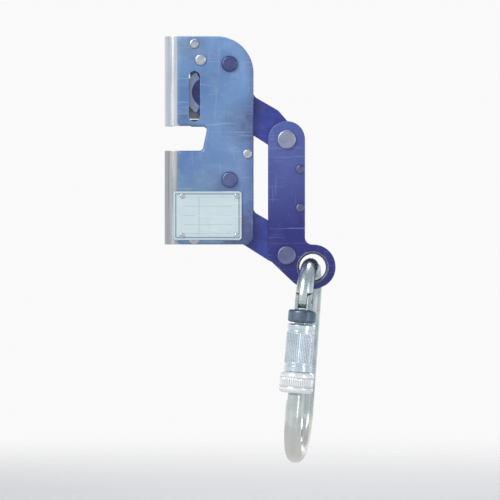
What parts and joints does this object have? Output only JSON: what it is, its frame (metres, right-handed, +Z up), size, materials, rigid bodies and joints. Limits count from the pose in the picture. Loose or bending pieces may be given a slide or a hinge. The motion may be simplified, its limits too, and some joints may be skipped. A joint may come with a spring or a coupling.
{
  "type": "rope grab",
  "caption": "Cable lifeline rope grab: cheek plates with stainless rope channel, toothed cam levers on a parallel arm, rear sliding keeper and a hanging locking carabiner.",
  "frame": {"origin": "axis of the rope channel at mid-height of the housing", "axes": "+Z up along the rope, +X from the rope towards the arm, -Y the front with the marking plate"},
  "size_m": [0.1065, 0.0645, 0.2661],
  "materials": {
    "blue_paint": "blue powder coat, semi-gloss, light wear",
    "dark_blue_paint": "darker blue enamel",
    "stainless": "brushed stainless",
    "hardened_steel": "dark hardened steel",
    "bronze": "sintered bronze",
    "plate": "anodised marking plate",
    "zinc": "zinc-plated steel",
    "chrome": "polished plating",
    "black_oxide": "black oxide",
    "spring_steel": "spring wire"
  },
  "bodies": {
    "housing": {"front_cheek": "blue_paint", "back_cheek": "blue_paint", "upper_cable_guide": "stainless", "lower_cable_guide": "stainless", "upper_guide_rivet": "stainless", "lower_guide_rivet": "stainless", "frame_spacers": "zinc", "spacer_rivets": "zinc", "upper_cam_axle": "black_oxide", "lower_cam_axle": "black_oxide", "marking_plate": "plate", "marking_plate_pins": "stainless", "keeper_shoulder_rivets": "stainless", "spring_anchor_post": "stainless", "keeper_spring": "spring_steel", "cam_return_spring": "spring_steel"},
    "upper_lever": {"upper_cam_lever": "dark_blue_paint", "upper_cam_pad": "hardened_steel", "upper_cam_bushes": "bronze"},
    "lower_lever": {"lower_cam_lever": "dark_blue_paint", "lower_cam_pad": "hardened_steel", "lower_cam_bushes": "bronze"},
    "arm": {"arm_front_plate": "dark_blue_paint", "arm_back_plate": "dark_blue_paint", "arm_web": "dark_blue_paint", "arm_rivets": "zinc", "upper_link_pin": "zinc", "lower_link_pin": "zinc", "lug_spacer": "dark_blue_paint", "eye_bush": "stainless"},
    "keeper": {"keeper_plate": "stainless", "keeper_thumb_pad": "black_oxide", "spring_hook_post": "stainless"},
    "carabiner": {"carabiner_body": "zinc", "gate_pivot_pin": "hardened_steel"},
    "gate": {"carabiner_gate": "zinc", "gate_plunger": "hardened_steel", "gate_spring": "spring_steel", "gate_collar": "black_oxide"},
    "lock_barrel": {"sleeve_barrel": "zinc"},
    "lock_nut": {"sleeve_nut": "chrome"}
  },
  "joints": [
    {"name": "upper_cam_turn", "type": "hinge", "parent": "housing", "child": "upper_lever", "pos_m": [0.033, 0, 0.0475], "axis": [0, -1, 0], "range_deg": [-4, 25], "stiffness_Nm_per_rad": 0.15, "springref_deg": -28.65, "deforming": ["cam_return_spring"]},
    {"name": "lower_cam_turn", "type": "hinge", "parent": "housing", "child": "lower_lever", "pos_m": [0.033, 0, -0.0245], "axis": [0, -1, 0], "range_deg": [-4, 25]},
    {"name": "arm_level", "type": "hinge", "parent": "upper_lever", "child": "arm", "pos_m": [0.0685, 0, 0.0005], "axis": [0, -1, 0], "range_deg": [-25, 4]},
    {"name": "keeper_slide", "type": "slide", "parent": "housing", "child": "keeper", "axis": [1, 0, 0], "range_m": [0, 0.011], "stiffness_N_per_m": 150, "springref_m": -0.01, "deforming": ["keeper_spring"]},
    {"name": "carabiner_swing", "type": "hinge", "parent": "arm", "child": "carabiner", "pos_m": [0.0848, 0, -0.079], "axis": [0, -1, 0], "range_deg": [-35, 75]},
    {"name": "gate_turn", "type": "hinge", "parent": "carabiner", "child": "gate", "pos_m": [0.07888, -0.01976, -0.09995], "axis": [0.984, -0.1559, -0.0861], "range_deg": [0, 24], "stiffness_Nm_per_rad": 0.12, "springref_deg": -34.38},
    {"name": "barrel_slide", "type": "slide", "parent": "gate", "child": "lock_barrel", "axis": [0.0872, 0, 0.9962], "range_m": [-0.0085, 0]},
    {"name": "nut_turn", "type": "hinge", "parent": "lock_barrel", "child": "lock_nut", "pos_m": [0.07452, -0.01976, -0.14975], "axis": [0.0872, 0, 0.9962], "range_deg": [-515, 0]}
  ],
  "couplings": [
    {"joint": "lower_cam_turn", "follows": "upper_cam_turn", "ratio": 1},
    {"joint": "arm_level", "follows": "upper_cam_turn", "ratio": -1},
    {"joint": "nut_turn", "follows": "barrel_slide", "rad_per_m": 1047.2}
  ]
}
